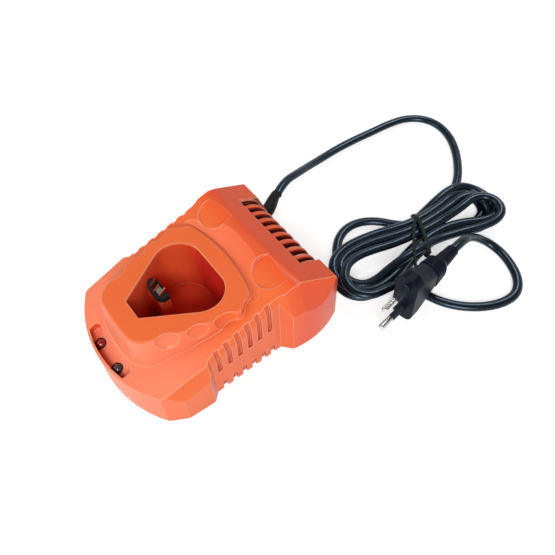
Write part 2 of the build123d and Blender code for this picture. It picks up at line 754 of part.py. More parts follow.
with BuildPart() as heat_sink:
    with Locations((sink_place[0], sink_place[1], board_top)):
        Box(*sink_size, align=(Align.CENTER, Align.CENTER, Align.MIN))
save(heat_sink.part, "heat_sink")

with BuildPart() as power_transistor:
    back = sink_place[1] - sink_size[1] / 2
    with Locations((sink_place[0], back, board_top + 3)):
        Box(transistor_size[0], transistor_size[1], 9,
            align=(Align.CENTER, Align.MAX, Align.MIN))
        Box(transistor_size[0], 1.3, transistor_size[2],
            align=(Align.CENTER, Align.MAX, Align.MIN))
    with Locations((sink_place[0], back - 2.2, board_top)):
        with GridLocations(2.54, 1, 3, 1):
            Box(0.8, 0.6, 3.2, align=(Align.CENTER, Align.CENTER, Align.MIN))
save(power_transistor.part, "power_transistor")

with BuildPart() as controller_chip:
    with Locations((chip_place[0], chip_place[1], board_top)):
        Box(*chip_size, align=(Align.CENTER, Align.CENTER, Align.MIN))
    chamfer(controller_chip.edges().group_by(Axis.Z)[-1], 0.3)
save(controller_chip.part, "controller_chip")

# ---------------------------------------------------------------- terminals
blade_x = [blade_first + k * blade_pitch for k in range(3)]

with BuildPart() as terminal_block:
    block_left = block_centre[0] - block_size[0] / 2
    with BuildSketch(Plane.XY.offset(pedestal_top)):
        with Locations(block_centre):
            Rectangle(block_size[0], block_size[1])
        chamfer(vertices().sort_by(Axis.Y)[:2].sort_by(Axis.X)[-1], block_corner)
        offset(well_outline.sketch, amount=-fit_gap, mode=Mode.INTERSECT)
    extrude(amount=block_size[2])
    with BuildSketch(Plane.XY.offset(pedestal_top + block_size[2])):
        with Locations((block_left + block_tower[0] / 2, blade_y[0])):
            Rectangle(block_tower[0], block_tower[1])
        offset(well_outline.sketch, amount=-fit_gap, mode=Mode.INTERSECT)
    extrude(amount=block_tower[2])
    with BuildSketch(Plane.XY.offset(pedestal_top)):
        with Locations(*zip(blade_x, blade_y)):
            Rectangle(blade_thickness, blade_width)
    extrude(amount=block_size[2], mode=Mode.SUBTRACT)
save(terminal_block.part, "terminal_block")

blade_base = pedestal_top
blade_top = pedestal_top + block_size[2] + blade_rise


def blade(part_name, x, y):
    """Contact blade in a plane across X, sloping at the top, with a tail to the board."""
    front = y - blade_width / 2
    back = y + blade_width / 2
    tail = tail_width / 2
    with BuildPart() as metal:
        with BuildSketch(Plane.YZ.offset(x)):
            Polygon((front, blade_base), (back, blade_base), (back, blade_top),
                    (front, blade_top - blade_fall), align=None)
            Polygon((y - tail, board_top), (y + tail, board_top),
                    (y + tail, blade_base + 1), (y - tail, blade_base + 1), align=None)
        extrude(amount=blade_thickness / 2, both=True)
    save(metal.part, part_name)


blade_names = ("negative_terminal", "sensor_terminal", "positive_terminal")
for part_name, x, y in zip(blade_names, blade_x, blade_y):
    blade(part_name, x, y)

with BuildPart() as terminal_bridge:
    bridge_start = blade_x[1] + blade_thickness / 2
    with Locations((bridge_start, (blade_y[1] + blade_y[2]) / 2, pedestal_top + block_size[2])):
        Box(blade_pitch - blade_thickness, blade_width - 0.8, bridge_height,
            align=(Align.MIN, Align.CENTER, Align.MIN))
save(terminal_bridge.part, "terminal_bridge")

# ---------------------------------------------------------------- LEDs
def led(part_name, x):
    """Round LED with flange and two legs down to the board."""
    radius = led_diameter / 2
    foot_z = led_z - led_body
    with BuildPart() as lamp:
        with Locations((x, led_y, foot_z)):
            Cylinder(radius, led_body, align=(Align.CENTER, Align.CENTER, Align.MIN))
            Cylinder(radius + 0.4, 1.0, align=(Align.CENTER, Align.CENTER, Align.MIN))
        with Locations((x, led_y, led_z)):
            Sphere(radius)
        with Locations((x, led_y, foot_z)):
            with GridLocations(2.54, 1, 2, 1):
                Box(led_leg, led_leg, foot_z - board_top,
                    align=(Align.CENTER, Align.CENTER, Align.MAX))
    save(lamp.part, part_name)


led("led_red", -led_spacing / 2)
led("led_green", led_spacing / 2)

with BuildPart() as led_collars:
    with BuildSketch(Plane.XY.offset(led_z - 2.0)):
        with Locations((led_spacing / 2, led_y), (-led_spacing / 2, led_y)):
            Circle(led_hole / 2)
            Circle(led_diameter / 2 + 0.05, mode=Mode.SUBTRACT)
    extrude(amount=2.0 + 0.9)
save(led_collars.part, "led_collars")

# ---------------------------------------------------------------- cord exit
relief_start = exit_wall_y + 0.2
turn_radius = relief_bend / radians(exit_turn)


def relief_plane(along, lift=0.0):
    """Plane across the strain relief, measured along its axis from the wall."""
    angle = radians(exit_turn) * min(along / relief_bend, 1.0)
    x = exit_x - turn_radius * (1 - cos(angle))
    y = relief_start + turn_radius * sin(angle)
    rest = max(along - relief_bend, 0.0)
    direction = (-sin(angle), cos(angle), 0)
    origin = (x + direction[0] * rest, y + direction[1] * rest, exit_z + lift)
    return Plane(origin, x_dir=(0, 0, 1), z_dir=direction)


with BuildPart() as strain_relief:
    total = relief_bend + relief_straight
    for along in (0.0, relief_bend / 2, relief_bend, total):
        with BuildSketch(relief_plane(along)):
            Circle((relief_base + (relief_tip - relief_base) * along / total) / 2)
    loft()
    with BuildSketch(Plane((exit_x, relief_start, exit_z), x_dir=(0, 0, 1), z_dir=(0, -1, 0))):
        Circle(relief_neck / 2)
    extrude(amount=wall + relief_seat)
    with BuildSketch(Plane((exit_x, relief_start - wall - relief_seat, exit_z), x_dir=(0, 0, 1),
                           z_dir=(0, -1, 0))):
        Circle(relief_flange[0] / 2)
    extrude(amount=relief_flange[1])
save(strain_relief.part, "strain_relief")
flange_face = relief_start - wall - relief_seat - relief_flange[1]

with BuildPart() as inner_cord:
    with BuildSketch(Plane((exit_x, flange_face, exit_z), x_dir=(1, 0, 0), z_dir=(0, -1, 0))):
        Circle(cord / 2)
    extrude(amount=flange_face - inner_cord_end)
save(inner_cord.part, "inner_cord")

with BuildPart() as cord_clamp:
    with Locations((exit_x, clamp_y, clamp_seat)):
        Box(*clamp_size, align=(Align.CENTER, Align.CENTER, Align.MIN))
    fillet(cord_clamp.edges().filter_by(Axis.Z), 1.5)
    with Locations(Plane((exit_x, clamp_y, exit_z), x_dir=(1, 0, 0), z_dir=(0, 1, 0))):
        Cylinder(cord / 2, 20, mode=Mode.SUBTRACT)
    with Locations(*[(x, y, clamp_seat) for x, y in clamp_posts]):
        Cylinder(board_screw / 2, 20, mode=Mode.SUBTRACT)
save(cord_clamp.part, "cord_clamp")

with BuildPart() as clamp_screws:
    for x, y in clamp_posts:
        with BuildSketch(Plane.XY.offset(clamp_seat + clamp_size[2])):
            with Locations((x, y)):
                Circle(board_screw_head / 2)
        extrude(amount=1.5)
        with BuildSketch(Plane.XY.offset(clamp_seat + clamp_size[2])):
            with Locations((x, y)):
                Circle(board_screw / 2)
        extrude(amount=-clamp_size[2] - 6)
save(clamp_screws.part, "clamp_screws")

with BuildPart() as input_wires:
    for sign in (1, -1):
        x = exit_x + sign * wire_spread / 2
        end = (wire_place[0] + sign * wire_spread, wire_place[1])
        start = Vector(x, inner_cord_end, exit_z)
        with BuildLine() as run:
            FilletPolyline(start, (x, inner_cord_end - 5, exit_z), (end[0], end[1], exit_z - 3),
                           (end[0], end[1], board_top), radius=2.0)
        with BuildSketch(Plane(start, z_dir=run.line % 0)):
            Circle(wire / 2)
        sweep(path=run.line)
save(input_wires.part, "input_wires")


# ---------------------------------------------------------------- loose cord
def bend_radii(points):
    """Largest radius at each corner of a route: 0.45 of the shorter run over tan(half turn)."""
    radii = []
    for before, here, after in zip(points, points[1:], points[2:]):
        run_in = Vector(*here) - Vector(*before)
        run_out = Vector(*after) - Vector(*here)
        turn = radians(run_in.get_angle(run_out))
        radii.append(0.45 * min(run_in.length, run_out.length) / tan(turn / 2))
    return radii


def cord_tube(part_name, points):
    """Tube of the cord along straight runs joined by tangent arcs."""
    radii = bend_radii(points)
    with BuildPart() as tube:
        with BuildLine() as route:
            FilletPolyline(*points, radius=radii)
        with BuildSketch(Plane(Vector(*points[0]), z_dir=route.line % 0)):
            Circle(cord / 2)
        sweep(path=route.line)
    run = route.wire().length
    section = pi * cord ** 2 / 4
    print(part_name, "length", round(run, 1), "radii", [round(r) for r in radii],
          "volume ratio", round(tube.part.volume / section / run, 4))
    save(tube.part, part_name)


relief_length = relief_bend + relief_straight
tip = relief_plane(relief_length).origin
lead = relief_plane(relief_length + 11.0).origin
cord_tube("mains_cord", [
    tuple(tip), tuple(lead), (-49.0, 101.0, 13.4), (-53.4, 113.8, 8.4),
    (-56.6, 127.8, 4.6), (-58.4, 142.5, 3.0), (-57.9, 157.5, 2.7), (-56.5, 172.0, 2.6),
    (-55.3, 186.0, 2.6), (-52.6, 199.0, 2.6), (-45.5, 208.8, 2.6), (-34.5, 213.4, 2.7),
    (-21.5, 211.6, 2.8), (-9.0, 205.2, 2.8), (2.8, 195.8, 3.0), (13.2, 184.6, 3.6),
    (24.5, 171.5, 4.6)])
cord_tube("hank_loop_cord", [
    (17.0, 81.6, 3.8), (10.6, 84.8, 3.2), (4.4, 90.2, 2.7), (0.2, 97.6, 2.6),
    (-1.2, 106.2, 2.6), (0.9, 114.6, 2.6), (6.4, 121.8, 2.8), (13.6, 127.4, 3.4),
    (22.0, 131.6, 4.6)])

plug_axis = (cos(radians(plug_heading)), sin(radians(plug_heading)), 0.0)
plug_rear = tuple(p - plug_length * a for p, a in zip(plug_face, plug_axis))
plug_lead = tuple(p - 9.0 * a for p, a in zip(plug_rear, plug_axis))
cord_tube("plug_loop_cord", [
    plug_rear, plug_lead, (54.2, 147.8, 14.8), (54.0, 155.6, 10.6),
    (57.8, 162.4, 7.0), (65.2, 166.2, 4.4), (74.4, 165.6, 3.0), (83.8, 160.8, 2.6),
    (90.6, 152.6, 2.6), (94.0, 141.6, 2.6), (92.9, 130.6, 2.6), (87.6, 120.8, 2.6),
    (79.4, 113.4, 2.6), (69.2, 108.2, 2.7), (58.0, 105.0, 2.8), (48.0, 102.6, 3.4),
    (38.0, 100.4, 4.4)])

with BuildPart() as cord_hank:
    for bight in (hank_upper, hank_lower):
        with BuildSketch(Plane.XY.offset(hank_bottom)) as lobe:
            with Locations(bight[:2]):
                Circle(bight[2])
            with Locations(hank_waist[:2]):
                Circle(hank_waist[2])
            make_hull()
        extrude(amount=hank_top - hank_bottom)
save(cord_hank.part, "cord_hank")

hank_run = Vector(hank_upper[0] - hank_lower[0], hank_upper[1] - hank_lower[1], 0).normalized()
with BuildPart() as hank_tie:
    middle = (hank_waist[0], hank_waist[1], (hank_top + hank_bottom) / 2)
    tie_plane = Plane(middle, x_dir=(0, 0, 1), z_dir=(hank_run.X, hank_run.Y, 0))
    tie_inner = (hank_top - hank_bottom, 2 * hank_waist[2] + 1.4)
    with BuildSketch(tie_plane):
        Rectangle(tie_inner[0] + 2 * tie_wall, tie_inner[1] + 2 * tie_wall)
        Rectangle(*tie_inner, mode=Mode.SUBTRACT)
    extrude(amount=tie_width / 2, both=True)
save(hank_tie.part, "hank_tie")

# ---------------------------------------------------------------- plug
back_axis = tuple(-a for a in plug_axis)


def plug_plane(back):
    """Plane across the plug, measured back from its face; local X is up."""
    origin = tuple(p + back * a for p, a in zip(plug_face, back_axis))
    return Plane(origin, x_dir=(0, 0, 1), z_dir=back_axis)


pin_lean = asin((pin_spacing - pin_spacing_tip) / 2 / pin_length)


def pin_plane(sign, back):
    """Plane across one pin, at a distance back from the plug's face along the pin."""
    lean = sign * pin_lean
    ahead = Vector(*plug_axis) * cos(lean) + Vector(0, 0, -1) * sin(lean)
    root = Vector(*plug_face) + Vector(0, 0, sign * pin_spacing / 2)
    return Plane(root - ahead * back, x_dir=Vector(*plug_axis).cross(Vector(0, 0, 1)),
                 z_dir=ahead)


with BuildPart() as plug_body:
    for back, height, thick, corner in ((0.0, plug_height, plug_thickness, 5.5),
                                        (6.0, plug_height - 0.4, plug_thickness, 5.8),
                                        (14.0, 25.0, plug_thickness - 0.4, 6.0),
                                        (*plug_grip, 5.8), (*plug_grip_end, 5.4),
                                        (33.0, 9.5, 9.0, 4.3), (plug_length, 7.0, 7.0, 3.4)):
        with BuildSketch(plug_plane(back)):
            RectangleRounded(height, thick, corner)
    loft(ruled=True)
    for k in range(plug_ribs):
        share = (k + 0.5) / plug_ribs
        back, height, thick = [a + share * (b - a) for a, b in zip(plug_grip, plug_grip_end)]
        with BuildSketch(plug_plane(back)):
            RectangleRounded(height + 2 * plug_rib[1], thick + 2 * plug_rib[1], 5.8)
        extrude(amount=plug_rib[0] / 2, both=True)
    for sign in (1, -1):
        with BuildSketch(pin_plane(sign, pin_root)):
            Circle(pin_diameter / 2)
        extrude(amount=pin_root + 2, mode=Mode.SUBTRACT)
save(plug_body.part, "plug_body")

with BuildPart() as plug_pins:
    for sign in (1, -1):
        for back, radius, run in ((pin_root, pin_diameter / 2, pin_root),
                                  (0.0, pin_diameter / 2 - sleeve_wall, sleeve_length),
                                  (-sleeve_length, pin_diameter / 2, pin_length - sleeve_length)):
            with BuildSketch(pin_plane(sign, back)):
                Circle(radius)
            extrude(amount=run)
    fillet(plug_pins.edges().filter_by(GeomType.CIRCLE).group_by(Axis(plug_face, plug_axis))[-1],
           1.2)
save(plug_pins.part, "plug_pins")

with BuildPart() as plug_sleeves:
    for sign in (1, -1):
        with BuildSketch(pin_plane(sign, 0)):
            Circle(pin_diameter / 2)
            Circle(pin_diameter / 2 - sleeve_wall, mode=Mode.SUBTRACT)
        extrude(amount=sleeve_length)
save(plug_sleeves.part, "plug_sleeves")
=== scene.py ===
"""A power tool battery charger with its mains lead tied in a hank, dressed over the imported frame."""

import math

import bpy
from mathutils import Matrix, Vector


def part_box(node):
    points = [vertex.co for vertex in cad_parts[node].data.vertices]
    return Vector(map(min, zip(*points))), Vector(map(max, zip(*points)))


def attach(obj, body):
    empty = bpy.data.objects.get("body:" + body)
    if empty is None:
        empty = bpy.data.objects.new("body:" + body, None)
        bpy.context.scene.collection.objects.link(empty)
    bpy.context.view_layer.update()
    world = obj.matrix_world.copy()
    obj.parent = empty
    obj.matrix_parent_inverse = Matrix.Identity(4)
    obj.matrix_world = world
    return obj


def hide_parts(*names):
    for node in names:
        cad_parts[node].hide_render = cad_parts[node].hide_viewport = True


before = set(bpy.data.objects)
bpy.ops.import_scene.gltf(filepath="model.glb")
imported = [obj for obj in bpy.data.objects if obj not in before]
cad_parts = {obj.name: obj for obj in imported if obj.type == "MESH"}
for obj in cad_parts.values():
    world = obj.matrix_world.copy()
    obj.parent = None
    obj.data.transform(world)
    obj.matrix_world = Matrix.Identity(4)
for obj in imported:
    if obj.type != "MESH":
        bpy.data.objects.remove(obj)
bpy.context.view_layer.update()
MM = 0.001


# Camera

LENS = 39.997
CAMERA_PLACE = (0.17356, -0.0710, 0.2985)
CAMERA_AZIMUTH, CAMERA_ELEVATION, CAMERA_ROLL = (math.radians(a) for a in (55.63, 54.93, -3.08))


def add_camera():
    """A 36 mm wide sensor, aimed by azimuth, elevation and a small roll."""
    level = math.cos(CAMERA_ELEVATION)
    right = Vector((math.cos(CAMERA_AZIMUTH), math.sin(CAMERA_AZIMUTH), 0))
    ahead = Vector((-right.y, right.x, 0))
    forward = ahead * level - Vector((0, 0, math.sin(CAMERA_ELEVATION)))
    up = right.cross(forward)
    across = right * math.cos(CAMERA_ROLL) + up * math.sin(CAMERA_ROLL)
    rise = up * math.cos(CAMERA_ROLL) - right * math.sin(CAMERA_ROLL)
    data = bpy.data.cameras.new("camera")
    data.sensor_width = 36
    data.lens = LENS
    data.clip_start = 0.01
    camera = bpy.data.objects.new("camera", data)
    bpy.context.collection.objects.link(camera)
    turn = Matrix((across, rise, -forward)).transposed().to_4x4()
    camera.matrix_world = Matrix.Translation(CAMERA_PLACE) @ turn
    bpy.context.scene.camera = camera


# Shader building

EDGE_GAIN = 5.5             # how soon a rounded edge counts as one


class Signal:
    """One output of a shader node. Arithmetic on it adds Math nodes."""

    def __init__(self, shading, socket):
        self.shading, self.socket = shading, socket

    def math(self, operation, first, second):
        return self.shading.add("ShaderNodeMath", {"operation": operation}, {0: first, 1: second})

    def __add__(self, other):
        return self.math("ADD", self, other)

    def __sub__(self, other):
        return self.math("SUBTRACT", self, other)

    def __mul__(self, other):
        return self.math("MULTIPLY", self, other)

    def __truediv__(self, other):
        return self.math("DIVIDE", self, other)

    def __gt__(self, other):
        return self.math("GREATER_THAN", self, other)

    def __lt__(self, other):
        return self.math("LESS_THAN", self, other)

    def __abs__(self):
        return self.math("ABSOLUTE", self, 0.0)

    def __radd__(self, other):
        return self.math("ADD", other, self)

    def __rsub__(self, other):
        return self.math("SUBTRACT", other, self)

    def __rmul__(self, other):
        return self.math("MULTIPLY", other, self)

    def largest(self, other):
        return self.math("MAXIMUM", self, other)


class Shading:
    """A shader tree that is built up by code."""

    def __init__(self, tree):
        self.tree = tree

    def add(self, kind, settings=None, sockets=None, output=0):
        """Adds a node with its settings and what feeds its sockets, and returns one output."""
        node = self.tree.nodes.new(kind)
        for name, value in (settings or {}).items():
            setattr(node, name, value)
        for name, value in (sockets or {}).items():
            self.feed(node.inputs[name], value)
        return Signal(self, node.outputs[output])

    def feed(self, socket, value):
        if isinstance(value, Signal):
            self.tree.links.new(value.socket, socket)
        else:
            socket.default_value = value

    def ease(self, signal, start, end):
        """Rises smoothly from 0 at the start to 1 at the end."""
        sockets = {"Value": signal, "From Min": start, "From Max": end}
        return self.add("ShaderNodeMapRange", {"interpolation_type": "SMOOTHSTEP"}, sockets)

    def seen(self):
        """1 for what the camera sees, straight, in a reflection or through something clear."""
        straight, mirrored, through = (
            self.add("ShaderNodeLightPath", output="Is %s Ray" % kind)
            for kind in ("Camera", "Glossy", "Transmission")
        )
        return straight.largest(mirrored.largest(through))


class Finish(Shading):
    """A material made of one Principled shader and the nodes that vary it."""

    def __init__(self, name, **constants):
        self.material = bpy.data.materials.new(name)
        self.material.use_nodes = True
        super().__init__(self.material.node_tree)
        self.shader = self.tree.nodes["Principled BSDF"]
        for socket, value in constants.items():
            self.shader.inputs[socket.replace("_", " ")].default_value = value
        self.place = self.add("ShaderNodeTexCoord", output="Object")

    def drive(self, **sockets):
        """Feeds the shader's own sockets."""
        for name, value in sockets.items():
            self.feed(self.shader.inputs[name.replace("_", " ")], value)
        return self

    def noise(self, scale, detail=2.0, roughness=0.5, stretch=(1, 1, 1)):
        """Soft noise; scale is in cycles per metre."""
        place = self.add("ShaderNodeMapping", {}, {"Vector": self.place, "Scale": stretch})
        sockets = {"Vector": place, "Scale": scale, "Detail": detail, "Roughness": roughness}
        return self.add("ShaderNodeTexNoise", {}, sockets, "Fac")

    def bands(self, scale, distortion):
        """Bands that follow each other along Z, a little wavy."""
        sockets = {"Vector": self.place, "Scale": scale, "Distortion": distortion}
        return self.add("ShaderNodeTexWave", {"bands_direction": "Z"}, sockets, "Fac")

    def axis(self, name):
        """One of the piece's own coordinates, in metres."""
        return self.add("ShaderNodeSeparateXYZ", {}, {0: self.place}, name)

    def facing(self, name):
        """One component of the direction that the surface faces."""
        normal = self.add("ShaderNodeNewGeometry", output="Normal")
        return self.add("ShaderNodeSeparateXYZ", {}, {0: normal}, name)

    def blend(self, factor, first, second):
        """A colour between two."""
        return self.add("ShaderNodeMix", {"data_type": "RGBA"}, {0: factor, 6: first, 7: second}, 2)

    def edge(self, radius):
        """0 on open faces and towards 1 along edges sharper than the radius."""
        rounded = self.add("ShaderNodeBevel", {"samples": 4}, {"Radius": radius})
        flat = self.add("ShaderNodeNewGeometry", output="Normal")
        product = {"operation": "DOT_PRODUCT"}
        along = self.add("ShaderNodeVectorMath", product, {0: rounded, 1: flat}, "Value")
        return (1 - along) * EDGE_GAIN

    def bump(self, height, distance, strength=1.0, soften=0.0):
        """Relief from a height signal; soften rounds hard edges by that radius first."""
        sockets = {"Height": height, "Distance": distance, "Strength": strength}
        if soften:
            sockets["Normal"] = self.add("ShaderNodeBevel", {"samples": 4}, {"Radius": soften})
        return self.drive(Normal=self.add("ShaderNodeBump", {}, sockets))


def rgb(red, green, blue):
    return (red, green, blue, 1.0)


# Finishes

# The housing's zones, in metres
WELL_FRONT, WELL_REAR = -0.0392, 0.0073
WELL_SIDE, WELL_RIM = 0.0240, 0.0464            # half width, and the height where its walls begin
WELL_NOSE, WELL_FLARE = 0.0081, 0.55            # half width at its front end, and how fast it widens
DECK_FRONT, DECK_HEIGHT, DECK_RISE = -0.0627, 0.0260, 0.29
BOSS_TOP = 0.0472
LOUVRE_SIDE, LOUVRE_FRONT = 0.0290, 0.0365


def inside_well(finish):
    """1 on the walls and the floor of the well, 0 elsewhere."""
    across, along, height = abs(finish.axis("X")), finish.axis("Y"), finish.axis("Z")
    flank = WELL_NOSE + (along - WELL_FRONT) * WELL_FLARE
    sides = (across < WELL_SIDE) * (across < flank)
    return sides * (along > WELL_FRONT) * (along < WELL_REAR) * (height < WELL_RIM)


def moulded_orange():
    """Satin ABS, with painted shade and light: deep red painted shade in the well, its crevices and the vent
    slots, darker towards the back, a painted pale sheen in front, and painted highlights along the edges,
    which are also polished by handling.
    """
    finish = Finish("moulded_orange", IOR=1.5, Specular_IOR_Level=0.24)
    across, along, height = abs(finish.axis("X")), finish.axis("Y"), finish.axis("Z")
    sideways, upwards = finish.facing("X"), finish.facing("Z")
    well = inside_well(finish)
    body = finish.blend(finish.noise(28, 3), rgb(0.90, 0.155, 0.042), rgb(0.96, 0.185, 0.054))

    # Painted shade: crevices, slots and inside corners found by ambient occlusion are tinted deep red.
    crevice_shade = 1 - finish.add("ShaderNodeAmbientOcclusion", {"samples": 8}, {"Distance": 0.006}, "AO")
    body = finish.blend(crevice_shade * 0.9, body, rgb(0.50, 0.022, 0.008))
    # Painted shade: the well's walls and floor are tinted deep red, less on faces turned sideways or upwards,
    # where the light falls.
    lit = sideways.largest(0.0) * 0.55 + upwards.largest(0.0) * 0.35
    body = finish.blend(well * (0.97 - lit), body, rgb(0.62, 0.020, 0.014))

    # Painted sheen: the deck and faces turned upwards are lightened to pale pink towards the front, outside
    # the well and below the boss top.
    deck = height > DECK_HEIGHT + (along - DECK_FRONT) * DECK_RISE
    sheen_faces = deck.largest(upwards > 0.6) * (height < BOSS_TOP) * (1 - well)
    painted_front_sheen = finish.ease(along, 0.0, -0.045) * sheen_faces
    body = finish.blend(painted_front_sheen * 0.75, body, rgb(0.98, 0.28, 0.16))
    # Painted shade: darker and redder towards the back, which faces away from the key lamp.
    rear_shade = finish.ease(along, 0.018, 0.036)
    body = finish.blend(rear_shade * 0.8, body, rgb(0.90, 0.082, 0.018))
    # Painted shade: the side faces of the vent slots are made nearly black.
    louvre_shade = (across < LOUVRE_SIDE) * (along > LOUVRE_FRONT) * (abs(sideways) > 0.8)
    body = finish.blend(louvre_shade * 0.9, body, rgb(0.16, 0.010, 0.006))

    # Painted highlight: edges are lightened to pale pink (less in the well); the same mask also makes them
    # less rough, as polished by handling.
    edge_highlight_and_polish = finish.edge(0.0009)
    finish.drive(Base_Color=finish.blend(edge_highlight_and_polish * (1 - well * 0.8), body, rgb(1.0, 0.52, 0.34)))
    scuffs = finish.noise(420, 4, 0.6, (1, 0.25, 1))
    finish.drive(Roughness=0.26 + scuffs * 0.12 - edge_highlight_and_polish * 0.06)
    return finish.bump(finish.noise(5200, 1), 0.00003, 0.35, soften=0.0004)


def black_plastic(name, colour, roughness, grain, relief=0.00003, soften=0.0003):
    """Moulded black plastic or rubber with a fine grain."""
    finish = Finish(name, IOR=1.48, Specular_IOR_Level=0.08)
    mottle = finish.noise(180, 3)
    # Lighter along the edges.
    edge_lightening = finish.edge(0.0006)
    lighter = tuple(1.9 * c + 0.006 for c in colour)
    dark = finish.blend(mottle, rgb(*colour), rgb(*(1.35 * c for c in colour)))
    finish.drive(Base_Color=finish.blend(edge_lightening, dark, rgb(*lighter)))
    finish.drive(Roughness=roughness + finish.noise(900, 2) * 0.12)
    return finish.bump(finish.noise(grain, 2), relief, 0.4, soften=soften)


def lead_jacket():
    """Glossy black PVC with long soft ripples from the extruder."""
    finish = Finish("lead_jacket", IOR=1.5, Specular_IOR_Level=0.55, Specular_Tint=rgb(0.50, 0.74, 1.0))
    smear = finish.noise(300, 3)
    finish.drive(Base_Color=finish.blend(smear, rgb(0.002, 0.003, 0.005), rgb(0.005, 0.007, 0.012)))
    finish.drive(Roughness=0.20 + smear * 0.12)
    return finish.bump(finish.noise(950, 3), 0.00006, 0.35)


def metal(name, colour, roughness, grain=(1, 1, 30), scale=700.0, relief=0.00001):
    """Plated or rolled metal with a drawn grain."""
    finish = Finish(name, Metallic=1.0)
    lines = finish.noise(scale, 3, 0.6, grain)
    dull = tuple(0.72 * c for c in colour)
    finish.drive(Base_Color=finish.blend(lines, rgb(*dull), rgb(*colour)))
    finish.drive(Roughness=roughness + lines * 0.15)
    return finish.bump(lines, relief, 0.5, soften=0.0002)


LENS_DEPTH = 0.0075


def lens(name, deep, bright):
    """Tinted epoxy: darker at the foot of the dome, where the chip's cup shows through."""
    finish = Finish(name, IOR=1.5, Coat_Weight=1.0, Coat_Roughness=0.05, Specular_IOR_Level=0.6)
    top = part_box("led_red")[1][2]
    height = (finish.axis("Z") - (top - LENS_DEPTH)) / LENS_DEPTH
    cloud = finish.noise(500, 2) * 0.25
    finish.drive(Base_Color=finish.blend(height + cloud, rgb(*deep), rgb(*bright)))
    finish.drive(Roughness=0.12 + finish.noise(800, 1) * 0.06)
    return finish.bump(finish.noise(700, 1), 0.00002, 0.2)


def solder_mask():
    """Green board with tinned tracks showing faintly through the mask."""
    finish = Finish("solder_mask", IOR=1.5)
    sockets = {"Vector": finish.place, "Scale": 160.0}
    nearest, second = (
        finish.add("ShaderNodeTexVoronoi", {"distance": "MANHATTAN", "feature": rank}, sockets, "Distance")
        for rank in ("F1", "F2")
    )
    track = (second - nearest) > 0.12
    finish.drive(Base_Color=finish.blend(track, rgb(0.012, 0.075, 0.030), rgb(0.030, 0.160, 0.060)))
    finish.drive(Roughness=0.35 + finish.noise(600, 2) * 0.2)
    return finish.bump(track, 0.00004, 0.5)


WAVE_PITCH = 0.31416        # a wave texture of scale 1 repeats at this distance


def lamination(name, colour, pitch):
    """Stacked sheets or turns, seen edge on along Z."""
    finish = Finish(name)
    stripes = finish.bands(WAVE_PITCH / pitch, 0.4)
    finish.drive(Base_Color=finish.blend(stripes, rgb(*(0.6 * c for c in colour)), rgb(*colour)))
    finish.drive(Roughness=0.42 + stripes * 0.2)
    return finish.bump(stripes, 0.0001, 0.6)


def printed_tape():
    """Polyester tape, with the wires' ridges showing through."""
    finish = Finish("winding_tape", IOR=1.5)
    ridges = finish.bands(260.0, 1.0)
    finish.drive(Base_Color=finish.blend(ridges, rgb(0.62, 0.45, 0.05), rgb(0.80, 0.62, 0.10)))
    finish.drive(Roughness=0.25 + finish.noise(400, 2) * 0.25)
    return finish.bump(ridges, 0.00008, 0.5)


def can_sleeve():
    """Shrink sleeve with a lighter stripe down one side."""
    finish = Finish("can_sleeve", IOR=1.5)
    stripe = finish.noise(60, 0) > 0.62
    finish.drive(Base_Color=finish.blend(stripe, rgb(0.012, 0.016, 0.035), rgb(0.42, 0.43, 0.45)))
    finish.drive(Roughness=0.22 + finish.noise(500, 2) * 0.15)
    return finish.bump(finish.noise(1500, 2), 0.00002, 0.3)


FUSE_CAP = 0.0052           # length of a plated cap


def fuse_glass():
    """A glass tube with plated caps at its ends."""
    finish = Finish("fuse_glass", IOR=1.5)
    start, end = (corner[0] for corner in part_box("mains_fuse"))
    cap = abs(finish.axis("X") - (start + end) / 2) > (end - start) / 2 - FUSE_CAP
    finish.drive(Base_Color=finish.blend(cap, rgb(0.72, 0.78, 0.76), rgb(0.66, 0.66, 0.68)))
    finish.drive(Metallic=cap, Roughness=0.10 + cap * 0.2)
    return finish.bump(finish.noise(700, 2), 0.00002, 0.3)


